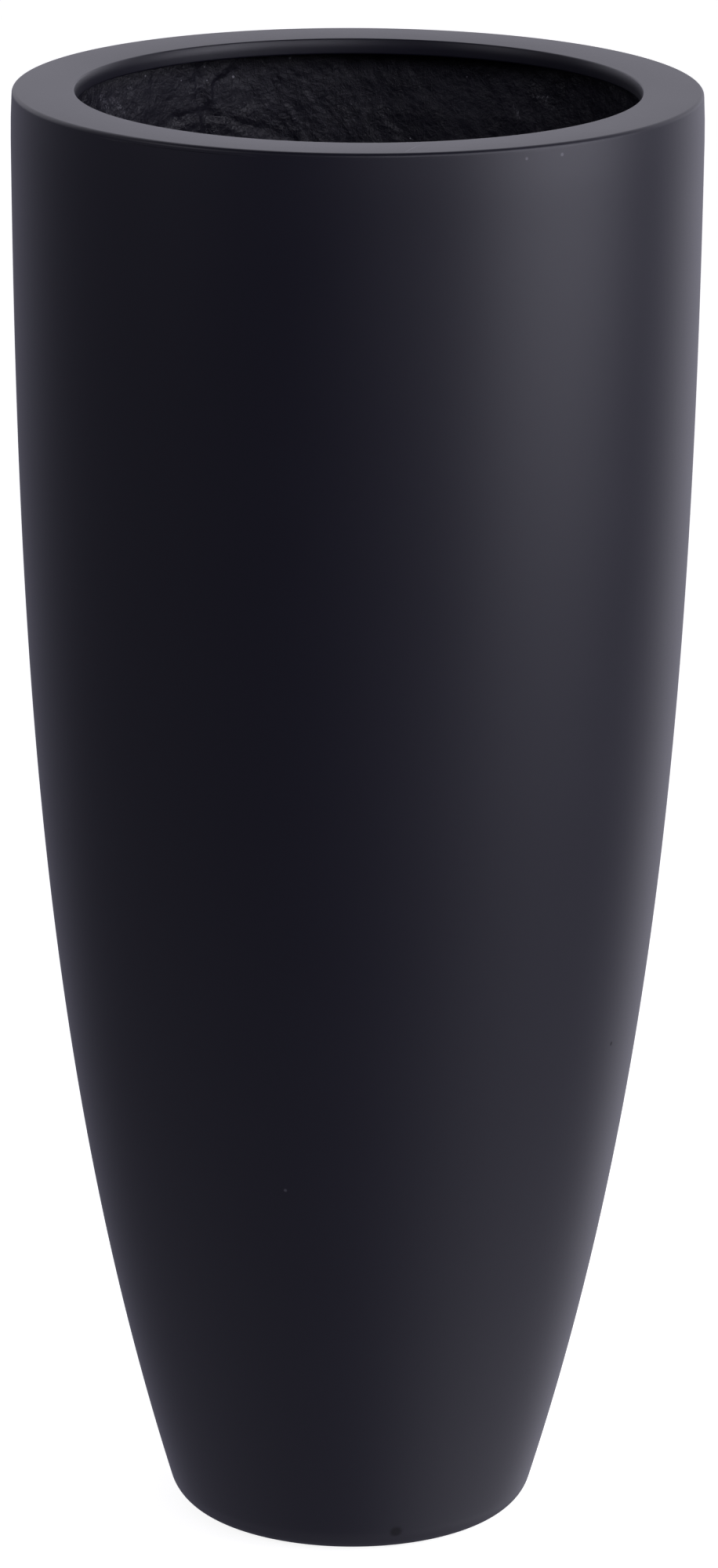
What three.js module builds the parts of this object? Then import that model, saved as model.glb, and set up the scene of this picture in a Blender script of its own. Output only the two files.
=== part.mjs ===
// A tall round planter in glass-fibre laminate. A smooth tapered shell is lined by hand with
// lapped lengths of glass mat. A flat rim is bonded on top, a floor disc is bonded in at the
// foot, and a rubber plug closes the drain hole from below.
// Millimetres, +Z up, origin on the ground at the centre of the foot.
import * as THREE from "three";
import { mergeVertices } from "three/addons/utils/BufferGeometryUtils.js";

// ---- Driving dimensions ----

// The whole vessel
const height = 798; // ground to the rim's top face
const widestDiameter = 370; // across the wall where it stands upright, just under the rim
const footDiameter = 192; // across the wall's line where it would meet the ground
const uprightAbove = 132; // how far above the rim the taper's curve would end
const taperPower = 3.2; // how late the wall stands up: 1 is a straight cone
const edgeRoll = 0.9; // how far the wall rolls in at its top edge
const edgeRollDepth = 26; // over what height it rolls in

// Shell and lining
const skinThickness = 2;
const footRound = 21; // outer radius of the turned-in foot
const footThickness = 5; // the foot is built up, because it carries the load
const footInnerRound = 14;
const footRingWidth = 30; // how far the turned-in foot reaches in from the wall's line
const matThickness = 2.5;
const matInnerRound = 11;
const lapRise = 1.2; // one more layer of mat where two lengths lap
const lapWidth = 45;
const lapEdgeWidth = 4; // run of the step at the free edge of a lap
const lapCount = 4;
const firstLapSector = 4; // the first lap starts at this corner of the facets
const ripple = 0.4; // unevenness of the hand-laid face, either way
const rippleHeight = 520; // height of one ripple along the wall
const rippleTurns = 5; // ripples around the wall
const crossTurns = 3; // slower ripples that cross them

// Rim
const rimThickness = 3;
const rimEdgeRound = 2;
const rimWidth = 32.5; // from the widest wall line to the mouth
const mouthEdgeRound = 1.2;
const lipDepth = 8.5; // from the rim's top face to the lip's lower edge
const lipThickness = 5;
const lipCornerRound = 2; // inside corner between the lip and the flange

// Floor and bonds
const floorThickness = 6;
const floorEdgeClearance = 0.8; // between the floor disc and the corner of the lining
const bondLine = 0.3; // thickness of resin between two bonded faces
const rimBondLeg = 9; // reach of the bead under the rim, down the wall and along the flange
const beadToe = 1.2; // thickness of a bead where it runs out
const beadHollow = 0.35; // how far a bead's face is drawn in: 0 is flat, 1 reaches its corner
const floorBondHeight = 20; // reach of the cove above the floor

// Drain
const drainDiameter = 25;
const drainEdge = 1; // chamfer at the top of the hole
const plugClearance = 0.3; // around the stem, and under the floor
const plugHeadDiameter = 38;
const plugHeadThickness = 4;
const plugEdgeRound = 1.2;
const plugGripDiameter = 12; // stub for finger and thumb in the middle of the head
const plugGrooveDiameter = 28; // outer edge of the groove around the grip
const plugGrooveDepth = 2.4;
const plugStemSink = 0.6; // how far the stem's end stays under the floor's top face
const plugStemLead = 1; // chamfer at the stem's end

// Facets
const sectors = 52; // flats around the vessel, shared so that faces stay parallel
const plugSectors = 32;
const wallSteps = 12; // rings up the wall
const ringCrowding = 0.45; // how far the rings crowd towards the foot: 0 spreads them evenly
const cornerSteps = 5;
const roundSteps = 3;
const slopeReach = 0.5; // half the height over which a wall's slope is taken
const cornerPasses = 12; // tries at where a round corner meets its leaning wall

// ---- Heights and radii that follow ----

const widestRadius = widestDiameter / 2;
const widestHeight = height - edgeRollDepth;
const footRadius = footDiameter / 2;
const mouthRadius = widestRadius - rimWidth;
const footOpeningRadius = footRadius - footRingWidth;
const rimSeat = height - rimThickness;
const wallTop = rimSeat - bondLine;
const liningFoot = footThickness + bondLine; // underside of the lining's turned-in foot
const liningFootTop = liningFoot + matThickness;
const floorUnderside = liningFootTop + bondLine;
const floorTop = floorUnderside + floorThickness;
const floorBondTop = floorTop + floorBondHeight;
const sectorAngle = (2 * Math.PI) / sectors;
const firstLapAngle = firstLapSector * sectorAngle;

// How much of the taper is left at a height: 1 at the ground, almost 0 at the rim.
const taperLeft = (z) => (1 - z / (height + uprightAbove)) ** taperPower;

// The outside of the wall.
function outside(z) {
  const leftAtWidest = taperLeft(widestHeight);
  const fall = (taperLeft(z) - leftAtWidest) / (1 - leftAtWidest);
  const roll = Math.max(0, (z - widestHeight) / edgeRollDepth);
  return widestRadius - (widestRadius - footRadius) * fall - edgeRoll * roll ** 2;
}
const skinInside = (z) => outside(z) - skinThickness;
const liningOutside = (z) => skinInside(z) - bondLine;
const liningInside = (z) => liningOutside(z) - matThickness;

// Heights of the wall's rings, closer together near the foot, where the wall curves most. The
// lowest is where the floor's bond ends, and the last two are where the wall is widest and its top.
const wallRings = Array.from({ length: wallSteps }, (_, i) => {
  const share = i / (wallSteps - 1);
  const crowded = share - ringCrowding * share * (1 - share);
  return floorBondTop + (widestHeight - floorBondTop) * crowded;
}).concat(wallTop);

// ---- Outlines, as points of radius and height, anticlockwise around the material ----

const point = (radius, z) => new THREE.Vector2(radius, z);

// Part of a circle, from one angle to another in degrees.
function arc(centre, radius, from, to, steps) {
  return Array.from({ length: steps + 1 }, (_, i) => {
    const angle = THREE.MathUtils.degToRad(from + ((to - from) * i) / steps);
    return point(centre.x + radius * Math.cos(angle), centre.y + radius * Math.sin(angle));
  });
}

// The round corner between a level face and a leaning wall, from the level face upwards.
function footCorner(wall, level, round) {
  let lean = 0;
  let tangent = level;
  for (let pass = 0; pass < cornerPasses; pass++) {
    tangent = level + round * (1 - Math.sin(lean));
    const widening = wall(tangent + slopeReach) - wall(tangent - slopeReach);
    lean = Math.atan2(widening, 2 * slopeReach);
  }
  const centre = point(wall(tangent) - round * Math.cos(lean), level + round);
  return arc(centre, round, -90, -THREE.MathUtils.radToDeg(lean), cornerSteps);
}

// The wall's rings from the foot to the top.
const wallPoints = (wall) => wallRings.map((z) => point(wall(z), z));

const closed = (outline) => [...outline, outline[0].clone()];

// Turns an outline around the vessel's axis into one closed solid.
function turned(outline, flats = sectors) {
  const geometry = new THREE.LatheGeometry(outline, flats);
  geometry.rotateX(Math.PI / 2);
  geometry.deleteAttribute("normal");
  geometry.deleteAttribute("uv");
  const solid = mergeVertices(geometry, 1e-4);
  solid.computeVertexNormals();
  return solid;
}

// ---- Shell: the smooth outer skin with its turned-in foot ----

function shellOutline() {
  return closed([
    point(footOpeningRadius, 0),
    ...footCorner(outside, 0, footRound),
    ...wallPoints(outside),
    ...wallPoints(skinInside).reverse(),
    ...footCorner(skinInside, footThickness, footInnerRound).reverse(),
    point(footOpeningRadius, footThickness),
  ]);
}

// ---- Lining: mat laid by hand in lengths, each lapped over the one before ----

// The share of one more layer at an angle: a sharp step at a length's free edge, full over the
// lap, then a soft ramp where the length below runs out.
function lapShare(angle) {
  const pitch = (2 * Math.PI) / lapCount;
  const along = ((angle - firstLapAngle + 2 * Math.PI) % pitch) * widestRadius;
  const ramp = sectorAngle * widestRadius;
  if (along < lapEdgeWidth) return along / lapEdgeWidth;
  return THREE.MathUtils.clamp((lapWidth + ramp - along) / ramp, 0, 1);
}

// The lining's rough inner face.
function matInside(angle, z) {
  const wave = Math.sin(rippleTurns * angle + (2 * Math.PI * z) / rippleHeight);
  const cross = Math.cos(crossTurns * (angle - (Math.PI * z) / rippleHeight));
  return liningInside(z) - lapRise * lapShare(angle) - ripple * wave * cross;
}

// The lining's section at one angle. Only its inner wall changes on the way round.
function liningOutline(angle) {
  return [
    point(footOpeningRadius, liningFoot),
    ...footCorner(liningOutside, liningFoot, footInnerRound - bondLine),
    ...wallPoints(liningOutside),
    ...wallPoints((z) => matInside(angle, z)).reverse(),
    ...footCorner(liningInside, liningFootTop, matInnerRound).reverse(),
    point(footOpeningRadius, liningFootTop),
  ];
}

// A section at each corner of the vessel, and one more just past the free edge of each lap.
const sectionAngles = Array.from({ length: sectors }, (_, i) => i * sectorAngle);
for (let lap = 0; lap < lapCount; lap++) {
  const freeEdge = firstLapAngle + (lap * 2 * Math.PI) / lapCount;
  sectionAngles.push(freeEdge + lapEdgeWidth / widestRadius);
}
sectionAngles.sort((a, b) => a - b);

// A section between two corners is drawn in to the flat that joins them.
const onFlat = (radius, angle) =>
  (radius * Math.cos(sectorAngle / 2)) / Math.cos((angle % sectorAngle) - sectorAngle / 2);

// Joins sections all round the vessel into one closed solid. outlineAt gives the section at an
// angle, with the same number of points each time. Each face between two sections is split along
// its shorter diagonal, so that faces that lie against each other are split alike.
function sectioned(outlineAt) {
  const outlines = sectionAngles.map(outlineAt);
  const positions = outlines.flatMap((outline, i) =>
    outline.flatMap((corner) => {
      const radius = onFlat(corner.x, sectionAngles[i]);
      return [radius * Math.cos(sectionAngles[i]), radius * Math.sin(sectionAngles[i]), corner.y];
    }),
  );
  const corner = (index) => new THREE.Vector3().fromArray(positions, 3 * index);
  const around = outlines[0].length;
  const indices = [];
  for (let i = 0; i < outlines.length; i++) {
    const here = i * around;
    const next = ((i + 1) % outlines.length) * around;
    for (let j = 0; j < around; j++) {
      const k = (j + 1) % around;
      const [a, b, c, d] = [here + j, next + j, next + k, here + k];
      const alongFirst = corner(a).distanceTo(corner(c)) < corner(b).distanceTo(corner(d));
      indices.push(...(alongFirst ? [a, b, c, a, c, d] : [a, b, d, b, c, d]));
    }
  }
  const geometry = new THREE.BufferGeometry();
  geometry.setAttribute("position", new THREE.Float32BufferAttribute(positions, 3));
  geometry.setIndex(indices);
  geometry.computeVertexNormals();
  return geometry;
}

// ---- Rim: a flat flange with a rounded outer edge and a lip turned down at the mouth ----

function rimOutline() {
  const edge = outside(height - rimEdgeRound);
  const lipBack = mouthRadius + lipThickness;
  const lipRound = lipThickness / 2;
  const lipBottom = height - lipDepth + lipRound;
  return closed([
    point(outside(rimSeat), rimSeat),
    ...arc(point(edge - rimEdgeRound, height - rimEdgeRound), rimEdgeRound, 0, 90, roundSteps),
    ...arc(
      point(mouthRadius + mouthEdgeRound, height - mouthEdgeRound),
      mouthEdgeRound,
      90,
      180,
      roundSteps,
    ),
    ...arc(point(mouthRadius + lipRound, lipBottom), lipRound, 180, 360, 2 * roundSteps),
    ...arc(
      point(lipBack + lipCornerRound, rimSeat - lipCornerRound),
      lipCornerRound,
      180,
      90,
      roundSteps,
    ),
  ]);
}

// ---- Beads of resin that bond the rim and the floor to the lining's rough face ----

// The hollow face of a bead, drawn in towards the corner that it fills.
function hollowFace(start, corner, end) {
  const middle = start.clone().lerp(end, 0.5);
  return new THREE.QuadraticBezierCurve(start, middle.lerp(corner, beadHollow), end).getPoints(
    cornerSteps,
  );
}

function rimBondOutline(angle) {
  const top = rimSeat - bondLine;
  const bottom = top - rimBondLeg;
  const topRadius = matInside(angle, top) - bondLine;
  const bottomRadius = matInside(angle, bottom) - bondLine;
  const reach = liningInside(top) - rimBondLeg;
  return [
    point(bottomRadius, bottom),
    point(topRadius, top),
    point(reach, top),
    ...hollowFace(
      point(reach, top - beadToe),
      point(topRadius, top),
      point(bottomRadius - beadToe, bottom),
    ),
  ];
}

const floorRadius =
  footCorner(liningInside, liningFootTop, matInnerRound)[0].x - floorEdgeClearance;

// The cove stands on the lining's turned-in foot, beside the floor disc, and follows the round
// corner behind it up to the wall.
function floorBondOutline(angle) {
  const inner = floorRadius + bondLine;
  const foot = liningFootTop + bondLine;
  const topRadius = matInside(angle, floorBondTop) - bondLine;
  const corner = footCorner(liningInside, foot, matInnerRound - bondLine).map(
    ({ x, y }) => point(x - bondLine, y),
  );
  return [
    point(inner, foot),
    ...corner.slice(1),
    point(topRadius, floorBondTop),
    ...hollowFace(
      point(topRadius - beadToe, floorBondTop),
      corner.at(-1),
      point(inner, floorTop - bondLine),
    ),
  ];
}

// ---- Floor: a disc on the turned-in foot, with the drain hole in its middle ----

function floorOutline() {
  const drain = drainDiameter / 2;
  return closed([
    point(drain, floorUnderside),
    point(floorRadius, floorUnderside),
    point(floorRadius, floorTop),
    point(drain + drainEdge, floorTop),
    point(drain, floorTop - drainEdge),
  ]);
}

// ---- Plug: a rubber bung with a grip in its head ----

function plugOutline() {
  const head = plugHeadDiameter / 2;
  const stem = drainDiameter / 2 - plugClearance;
  const shoulder = floorUnderside - plugClearance;
  const bottom = shoulder - plugHeadThickness;
  const grooveTop = bottom + plugGrooveDepth;
  const stemEnd = floorTop - plugStemSink;
  return [
    point(0, bottom),
    point(plugGripDiameter / 2, bottom),
    point(plugGripDiameter / 2, grooveTop),
    point(plugGrooveDiameter / 2, grooveTop),
    point(plugGrooveDiameter / 2, bottom),
    ...arc(point(head - plugEdgeRound, bottom + plugEdgeRound), plugEdgeRound, -90, 0, roundSteps),
    ...arc(point(head - plugEdgeRound, shoulder - plugEdgeRound), plugEdgeRound, 0, 90, roundSteps),
    point(stem, shoulder),
    point(stem, stemEnd - plugStemLead),
    point(stem - plugStemLead, stemEnd),
    point(0, stemEnd),
  ];
}

// ---- The planter ----

const satinPaint = { color: 0x1e1d25, roughness: 0.45, metalness: 0 };
const bareLaminate = { color: 0x15141a, roughness: 0.7, metalness: 0 };
const filledResin = { color: 0x1a191f, roughness: 0.6, metalness: 0 };
const blackRubber = { color: 0x101012, roughness: 0.8, metalness: 0 };

const planter = new THREE.Group();

function addPiece(name, geometry, finish) {
  const mesh = new THREE.Mesh(geometry, new THREE.MeshStandardMaterial(finish));
  mesh.name = name;
  planter.add(mesh);
}

addPiece("body_shell", turned(shellOutline()), satinPaint);
addPiece("mat_lining", sectioned(liningOutline), bareLaminate);
addPiece("rim_ring", turned(rimOutline()), satinPaint);
addPiece("rim_bond_fillet", sectioned(rimBondOutline), filledResin);
addPiece("base_disc", turned(floorOutline()), bareLaminate);
addPiece("base_bond_fillet", sectioned(floorBondOutline), filledResin);
addPiece("drain_plug", turned(plugOutline(), plugSectors), blackRubber);

export default planter;
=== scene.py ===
# The looks of a tall round planter in glass-fibre laminate, built around its plain solids: a smooth
# satin-painted shell and rim, a rough lining laid by hand, beads of filled resin, a floor and a plug.
# Metres, +Z up, the origin on the ground at the centre of the foot.
import math
import random

import bmesh
import bpy
import numpy as np
from mathutils import Euler, Matrix, Vector


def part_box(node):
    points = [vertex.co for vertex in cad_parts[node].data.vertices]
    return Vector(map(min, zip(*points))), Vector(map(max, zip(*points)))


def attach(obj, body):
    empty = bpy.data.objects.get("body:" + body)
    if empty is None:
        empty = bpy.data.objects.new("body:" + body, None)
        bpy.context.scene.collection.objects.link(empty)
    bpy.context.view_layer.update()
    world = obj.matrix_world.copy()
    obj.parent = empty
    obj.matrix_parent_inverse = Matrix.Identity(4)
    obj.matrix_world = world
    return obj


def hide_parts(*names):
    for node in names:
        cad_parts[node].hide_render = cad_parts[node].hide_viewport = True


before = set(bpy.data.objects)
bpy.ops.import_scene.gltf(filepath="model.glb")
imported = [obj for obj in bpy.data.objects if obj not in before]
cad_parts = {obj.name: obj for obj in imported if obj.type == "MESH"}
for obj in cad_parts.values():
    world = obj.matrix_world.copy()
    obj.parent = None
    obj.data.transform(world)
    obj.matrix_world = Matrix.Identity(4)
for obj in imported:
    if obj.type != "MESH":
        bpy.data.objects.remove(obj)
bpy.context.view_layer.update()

MM = 0.001
FULL_TURN = 2 * math.pi

# ---- Sizes that the solids give ----

_, skin_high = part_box("body_shell")
rim_low, rim_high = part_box("rim_ring")
rim_bead_low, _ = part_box("rim_bond_fillet")
floor_low, floor_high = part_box("base_disc")
_, floor_bead_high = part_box("base_bond_fillet")
plug_low, plug_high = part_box("drain_plug")

HEIGHT = rim_high.z
WIDEST_RADIUS = skin_high.x
WALL_TOP = skin_high.z
LIP_DEPTH = rim_high.z - rim_low.z
RIM_BEAD_BOTTOM = rim_bead_low.z
FLOOR_RADIUS = floor_high.x
FLOOR_TOP = floor_high.z
FLOOR_UNDERSIDE = floor_low.z
FLOOR_BEAD_TOP = floor_bead_high.z
PLUG_HEAD_RADIUS = plug_high.x
PLUG_TOP = plug_high.z
PLUG_BOTTOM = plug_low.z

# ---- Other sizes of the solids ----

# The taper of the wall
FOOT_RADIUS = 96 * MM  # of the wall's line where it would meet the ground
UPRIGHT_ABOVE = 132 * MM
TAPER_POWER = 3.2
EDGE_ROLL = 0.9 * MM
EDGE_ROLL_DEPTH = 26 * MM

# The laminate
SKIN_THICKNESS = 2 * MM
BOND_LINE = 0.3 * MM
MAT_THICKNESS = 2.5 * MM
FOOT_THICKNESS = 5 * MM
FOOT_ROUND = 21 * MM
FOOT_INNER_ROUND = 14 * MM
FOOT_RING_WIDTH = 30 * MM
MAT_INNER_ROUND = 11 * MM
LAP_RISE = 1.2 * MM
LAP_WIDTH = 45 * MM
LAP_EDGE_WIDTH = 4 * MM
LAP_COUNT = 4
LAP_RAMP = FULL_TURN / 52  # over which the length of mat below runs out
FIRST_LAP = math.radians(27.69)
RIPPLE = 0.4 * MM
RIPPLE_HEIGHT = 520 * MM
RIPPLE_TURNS = 5
CROSS_TURNS = 3

# The rim
RIM_WIDTH = 32.5 * MM
RIM_THICKNESS = 3 * MM
LIP_THICKNESS = 5 * MM
LIP_CORNER_ROUND = 2 * MM

# The beads and the drain
BEAD_TOE = 1.2 * MM
BEAD_HOLLOW = 0.35
DRAIN_RADIUS = 12.5 * MM
DRAIN_EDGE = 1 * MM
PLUG_CLEARANCE = 0.3 * MM
PLUG_HEAD_THICKNESS = 4 * MM
PLUG_EDGE_ROUND = 1.2 * MM
PLUG_GRIP_RADIUS = 6 * MM
PLUG_GROOVE_RADIUS = 14 * MM
PLUG_GROOVE_DEPTH = 2.4 * MM
PLUG_SOFT_EDGE = 0.5 * MM
PLUG_STEM_LEAD = 1 * MM

# ---- Finer sizes that only the looks have ----

CLOSED_SEAM = 0.02 * MM  # between the wall and the rim, filled and painted over
FOOT_ARRIS = 0.6 * MM  # at the opening of the foot's ring
LIP_ARRIS = 1 * MM
LIP_FACE_LEAN = 20  # degrees that the top of the lip's face leans back
LIP_DRAWN_IN = 1.7 * MM  # of the lower part of the lip's face
LIP_FACE_ROUND = 13 * MM
LIP_FOOT_ROUND = 1 * MM
LIP_PAINT = 0.2 * MM  # of filler and paint built up under the lip
RIM_SOFT_EDGE = 2.2 * MM
RIM_SAG = 0.45 * MM  # from the outer edge to the mouth
MOUTH_OFF_CENTRE = 0.42 * MM  # cut a little to the right
FLOOR_EDGE_DEPTH = 0.5 * MM
FLOOR_EDGE_WIDTH = 0.4 * MM

# ---- Places that follow ----

WIDEST_HEIGHT = HEIGHT - EDGE_ROLL_DEPTH
MOUTH_RADIUS = WIDEST_RADIUS - RIM_WIDTH
FOOT_OPENING = FOOT_RADIUS - FOOT_RING_WIDTH
RIM_SEAT = HEIGHT - RIM_THICKNESS
LINING_FOOT = FOOT_THICKNESS + BOND_LINE
LINING_FOOT_TOP = LINING_FOOT + MAT_THICKNESS


# The outside of the wall at a height, or at an array of heights.
def outside(z):
    def taper_left(at):
        return (1 - at / (HEIGHT + UPRIGHT_ABOVE)) ** TAPER_POWER

    left_at_widest = taper_left(WIDEST_HEIGHT)
    fall = (taper_left(z) - left_at_widest) / (1 - left_at_widest)
    roll = np.maximum(0, (z - WIDEST_HEIGHT) / EDGE_ROLL_DEPTH)
    return WIDEST_RADIUS - (WIDEST_RADIUS - FOOT_RADIUS) * fall - EDGE_ROLL * roll**2


def skin_inside(z):
    return outside(z) - SKIN_THICKNESS


def lining_outside(z):
    return skin_inside(z) - BOND_LINE


def lining_inside(z):
    return lining_outside(z) - MAT_THICKNESS


# ---- Outlines: points of radius and height, anticlockwise around the material ----


# Part of a circle, from one angle to another in degrees.
def arc(radius_at, z_at, round_radius, start, end, steps):
    angles = np.radians(np.linspace(start, end, steps + 1))
    return [(radius_at + round_radius * math.cos(a), z_at + round_radius * math.sin(a)) for a in angles]


# The round corner between a level face and a leaning wall, from the level face upwards. Where the
# corner ends depends on the wall's lean there, so both are found together, closer each time.
def foot_corner(wall, level, round_radius, steps=20):
    reach = 0.5 * MM
    tries = 12
    lean = 0.0
    for _ in range(tries):
        tangent = level + round_radius * (1 - math.sin(lean))
        lean = math.atan2(wall(tangent + reach) - wall(tangent - reach), 2 * reach)
    centre = wall(tangent) - round_radius * math.cos(lean)
    return arc(centre, level + round_radius, round_radius, -90, -math.degrees(lean), steps)


# Points up a wall between two heights, closer together near the foot, where it curves most.
def up_wall(wall, low, high, steps):
    share = np.linspace(0, 1, steps + 1)
    crowding = 0.45
    heights = low + (high - low) * (share - crowding * share * (1 - share))
    return [(wall(z), z) for z in heights]


# The hollow face of a bead, drawn in towards the corner that it fills.
def hollow_face(start, corner, end, steps=10):
    start, corner, end = (np.array(p) for p in (start, corner, end))
    pull = (start + end) / 2 * (1 - BEAD_HOLLOW) + corner * BEAD_HOLLOW
    shares = np.linspace(0, 1, steps + 1)
    return [tuple((1 - t) ** 2 * start + 2 * t * (1 - t) * pull + t**2 * end) for t in shares]


# ---- Meshes ----

SHARP_FROM = math.radians(38)
WELD_WITHIN = 0.001 * MM


# Hands a finished mesh to its body, in the place of the solid that it dresses.
def fit(mesh, name, body, node, slot):
    mesh.shade_smooth()
    mesh.set_sharp_from_angle(angle=SHARP_FROM)
    piece = bpy.data.objects.new(name, mesh)
    bpy.context.scene.collection.objects.link(piece)
    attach(piece, body)
    if node:
        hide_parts(node)
    mesh.materials.append(FINISHES[slot])


# Turns a closed outline around the axis.
def turned(name, outline, flats):
    work = bmesh.new()
    points = [work.verts.new((radius, 0, z)) for radius, z in outline]
    for first, second in zip(points, points[1:] + points[:1]):
        if (first.co - second.co).length > 0 and max(first.co.x, second.co.x) > 0:
            work.edges.new((first, second))
    bmesh.ops.spin(
        work,
        geom=work.verts[:] + work.edges[:],
        cent=(0, 0, 0),
        axis=(0, 0, 1),
        angle=FULL_TURN,
        steps=flats,
        use_merge=True,
    )
    bmesh.ops.remove_doubles(work, verts=work.verts[:], dist=WELD_WITHIN)
    bmesh.ops.recalc_face_normals(work, faces=work.faces[:])
    mesh = bpy.data.meshes.new(name)
    work.to_mesh(mesh)
    work.free()
    return mesh


# Points in space from arrays of angles, radii and heights that go together.
def in_space(angles, radius, height):
    angles, radius, height = np.broadcast_arrays(angles, radius, height)
    return np.stack([radius * np.cos(angles), radius * np.sin(angles), height], axis=-1)


def even_angles(count):
    return np.arange(count) * FULL_TURN / count


# The same outline at every angle: its radii and its heights, in a row for each angle.
def repeated(outline, angles):
    return (np.tile(values, (len(angles), 1)) for values in zip(*outline))


# Joins sections all round the axis: radius and height hold a row for each angle.
def all_round(name, angles, radius, height):
    rows, columns = radius.shape
    points = in_space(angles[:, None], radius, height).reshape(-1, 3)
    here = np.arange(rows)[:, None] * columns
    beside = (np.arange(rows)[:, None] + 1) % rows * columns
    low = np.arange(columns)[None, :]
    high = (low + 1) % columns
    quads = np.stack([here + low, beside + low, beside + high, here + high], axis=-1).reshape(-1, 4)
    mesh = bpy.data.meshes.new(name)
    mesh.from_pydata(points.tolist(), [], quads.tolist())
    return mesh


# Smooth unevenness, mostly between -1 and 1, in swells of about one size.
def swells(points, size, seed):
    draw = random.Random(seed)
    waves = 12
    shortest, longest = 0.7, 1.6
    total = np.zeros(points.shape[:-1])
    for _ in range(waves):
        way = Vector([draw.gauss(0, 1) for _ in range(3)]).normalized()
        pitch = size * draw.uniform(shortest, longest)
        total += np.sin(points @ np.array(way) * FULL_TURN / pitch + draw.uniform(0, FULL_TURN))
    return total / math.sqrt(2 * waves)


# The unevenness of a surface that has swells of several sizes, each given as (height, size).
def uneven(points, sizes, seed):
    return sum(height * swells(points, size, seed + step) for step, (height, size) in enumerate(sizes))


# ---- Shell ----

SKIN_FLATS = 288


def shell_outline():
    wall_foot = foot_corner(outside, 0, FOOT_ROUND)
    inner_foot = foot_corner(skin_inside, FOOT_THICKNESS, FOOT_INNER_ROUND)
    top = RIM_SEAT - CLOSED_SEAM
    arris_reach = FOOT_OPENING + FOOT_ARRIS
    return [
        *arc(arris_reach, FOOT_ARRIS, FOOT_ARRIS, 180, 270, steps=3),
        *wall_foot,
        *up_wall(outside, wall_foot[-1][1], top, steps=96)[1:],
        *reversed(up_wall(skin_inside, inner_foot[-1][1], top, steps=40)[1:]),
        *reversed(inner_foot),
        *arc(arris_reach, FOOT_THICKNESS - FOOT_ARRIS, FOOT_ARRIS, 90, 180, steps=3),
    ]


# ---- Rim ----


def rim_outline():
    edge = outside(HEIGHT - RIM_SOFT_EDGE)
    mouth = MOUTH_RADIUS - LIP_DRAWN_IN
    lip_back = MOUTH_RADIUS + LIP_THICKNESS
    foot_round_z = HEIGHT - LIP_DEPTH - LIP_PAINT + LIP_FOOT_ROUND
    lean = math.radians(LIP_FACE_LEAN)
    spare = LIP_FACE_ROUND - LIP_ARRIS
    arris_at = (mouth + LIP_FACE_ROUND - spare * math.cos(lean), HEIGHT - LIP_ARRIS)
    face_at = (mouth + LIP_FACE_ROUND, HEIGHT - LIP_ARRIS - spare * math.sin(lean))
    lip_corner = (lip_back + LIP_CORNER_ROUND, RIM_SEAT - LIP_CORNER_ROUND)
    return [
        (outside(RIM_SEAT), RIM_SEAT),
        *arc(edge - RIM_SOFT_EDGE, HEIGHT - RIM_SOFT_EDGE, RIM_SOFT_EDGE, 0, 90, steps=10),
        *arc(*arris_at, LIP_ARRIS, 90, 180 - LIP_FACE_LEAN, steps=8),
        *arc(*face_at, LIP_FACE_ROUND, 180 - LIP_FACE_LEAN, 180, steps=12)[1:],
        *arc(mouth + LIP_FOOT_ROUND, foot_round_z, LIP_FOOT_ROUND, 180, 270, steps=8),
        *arc(lip_back - LIP_FOOT_ROUND, foot_round_z, LIP_FOOT_ROUND, 270, 360, steps=8),
        *arc(*lip_corner, LIP_CORNER_ROUND, 180, 90, steps=6),
    ]


# The turned rim, sagging a little towards a mouth that is a little off centre.
def rim_mesh():
    mesh = turned("rim", rim_outline(), SKIN_FLATS)
    for vertex in mesh.vertices:
        reach = math.hypot(vertex.co.x, vertex.co.y)
        share = min(1, (WIDEST_RADIUS - reach) / RIM_WIDTH)
        vertex.co.x += MOUTH_OFF_CENTRE * share
        vertex.co.z -= RIM_SAG * share
    return mesh


# ---- Lining ----

LINING_ANGLES = even_angles(960)
THINNEST_MAT = 0.4 * MM
CLOSE_ROWS_FROM = HEIGHT - 125 * MM  # above this the lining is seen from close by
CLOSE_ROW = 1.6 * MM
FAR_ROW = 11 * MM
BACK_FOLLOWS_FROM = 30 * MM  # above this the lining's back follows the wall

# Lumps of the resin and the mat, in three sizes, as (height, size).
LUMPS = [(0.6 * MM, 42 * MM), (0.42 * MM, 15 * MM), (0.26 * MM, 6 * MM)]

# The free edges of the laps lean to one side above a height, in radians for each metre, and wander:
# radians to each side, waves in radians for each metre of height, and where on the wave they begin.
LAP_LEAN = 0.6
LAP_LEANS_FROM = 754 * MM
LAP_WANDER = [(0.006, 71, 0), (0.004, 190, 1)]

# Furrows and folds of the wet mat on the far wall: depth and width in mm, less than 0 for a ridge, and
# places along them as (degrees around, height in mm).
FURROWS = [
    (1.5, 2.2, [(119.9, 778), (119.5, 770), (119.3, 762), (119.1, 757), (118.0, 747), (117.2, 735)]),
    (-1.8, 2.6, [(113.5, 778.5), (115.2, 777), (116.8, 773), (117.4, 768), (117.0, 761)]),
    (0.9, 1.8, [(110.8, 786), (111.2, 778), (112.6, 774.5), (114.9, 772), (116.2, 767.5), (116.4, 759)]),
    (1.1, 1.8, [(124.6, 754.4), (119.2, 754.3), (115.1, 752.2), (112.5, 748.5), (105.8, 740.7), (101, 735)]),
    (-0.7, 2.0, [(125.2, 748), (121.0, 750.6), (118.4, 748), (115.1, 747.4), (111.5, 742)]),
    (0.6, 1.6, [(53.0, 775), (53.5, 764), (53.2, 745)]),
]
FURROW_WANDER = 1.1 * MM
FURROW_WANDER_SIZE = 13 * MM

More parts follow.
